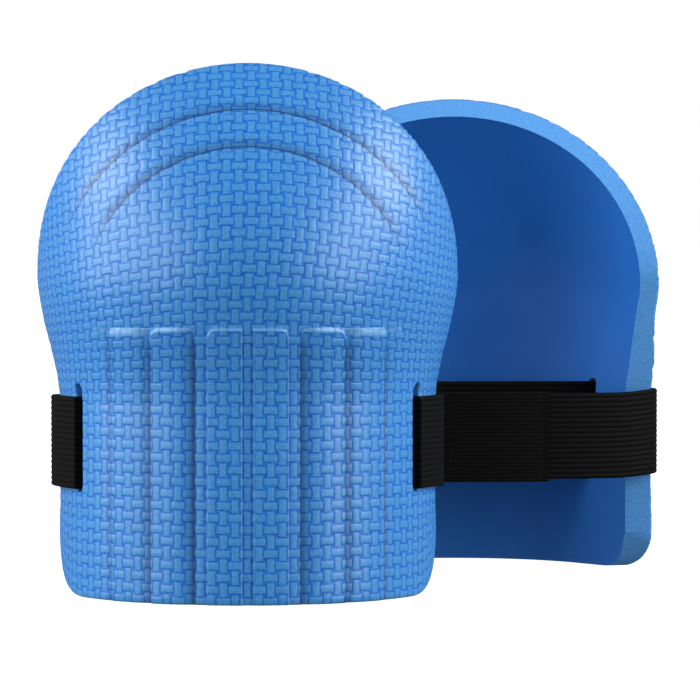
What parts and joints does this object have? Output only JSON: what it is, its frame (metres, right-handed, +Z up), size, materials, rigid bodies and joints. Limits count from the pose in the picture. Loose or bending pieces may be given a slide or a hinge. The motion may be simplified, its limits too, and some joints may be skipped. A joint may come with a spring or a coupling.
{
  "type": "knee pads",
  "caption": "Moulded foam knee pads with a domed knee cup, ribbed shin part and an elastic strap through side slots that closes behind the leg with hook and loop.",
  "frame": {"origin": "middle of the pair's bounding box, on the surface that the pads' lower edges stand on", "axes": "+Z up along both pads, -Y the way the front pad's outer face looks, +X to the right seen from in front of it"},
  "size_m": [0.251, 0.245, 0.2025],
  "materials": {
    "eva_foam": "matte moulded EVA foam, basket weave embossed on the outer face, smooth inside, bare cut edge",
    "elastic_webbing": "ribbed woven elastic",
    "hook_tape": "rows of small nylon hooks",
    "loop_tape": "brushed loop pile",
    "thread": "twisted polyester thread"
  },
  "bodies": {
    "front_pad": {"front_foam_shell": "eva_foam", "front_strap_band": "elastic_webbing"},
    "front_strap": {"front_hook_arm": "elastic_webbing"},
    "front_tab": {"front_hook_tab": "elastic_webbing", "front_hook_patch": "hook_tape", "front_hook_stitching": "thread"},
    "front_loop": {"front_loop_arm": "elastic_webbing", "front_loop_patch": "loop_tape", "front_loop_stitching": "thread"},
    "rear_pad": {"rear_foam_shell": "eva_foam", "rear_strap_band": "elastic_webbing"},
    "rear_strap": {"rear_hook_arm": "elastic_webbing"},
    "rear_tab": {"rear_hook_tab": "elastic_webbing", "rear_hook_patch": "hook_tape", "rear_hook_stitching": "thread"},
    "rear_loop": {"rear_loop_arm": "elastic_webbing", "rear_loop_patch": "loop_tape", "rear_loop_stitching": "thread"}
  },
  "joints": [
    {"name": "front_strap_stretch", "type": "slide", "parent": "front_pad", "child": "front_strap", "axis": [0, 1, 0], "range_m": [0, 0.01], "stiffness_N_per_m": 150},
    {"name": "front_tab_peel", "type": "hinge", "parent": "front_strap", "child": "front_tab", "pos_m": [-0.03227, -0.0318, 0.0585], "axis": [0, 0, -1], "range_deg": [0, 170]},
    {"name": "front_loop_swing", "type": "hinge", "parent": "front_strap", "child": "front_loop", "pos_m": [-0.11888, -0.05215, 0.0585], "axis": [0, 0, 1], "range_deg": [0, 32]},
    {"name": "pads_apart", "type": "slide", "parent": "front_pad", "child": "rear_pad", "axis": [0, 1, 0], "range_m": [0, 0.12]},
    {"name": "rear_strap_stretch", "type": "slide", "parent": "rear_pad", "child": "rear_strap", "axis": [0, -1, 0], "range_m": [0, 0.01], "stiffness_N_per_m": 150},
    {"name": "rear_tab_peel", "type": "hinge", "parent": "rear_strap", "child": "rear_tab", "pos_m": [0.02922, 0.02186, 0.0569], "axis": [0, 0, -1], "range_deg": [0, 170]},
    {"name": "rear_loop_swing", "type": "hinge", "parent": "rear_strap", "child": "rear_loop", "pos_m": [0.12436, 0.05215, 0.0569], "axis": [0, 0, 1], "range_deg": [0, 32]}
  ],
  "couplings": [
    {"joint": "front_loop_swing", "follows": "front_tab_peel", "ratio": 0.15},
    {"joint": "rear_loop_swing", "follows": "rear_tab_peel", "ratio": 0.15}
  ]
}
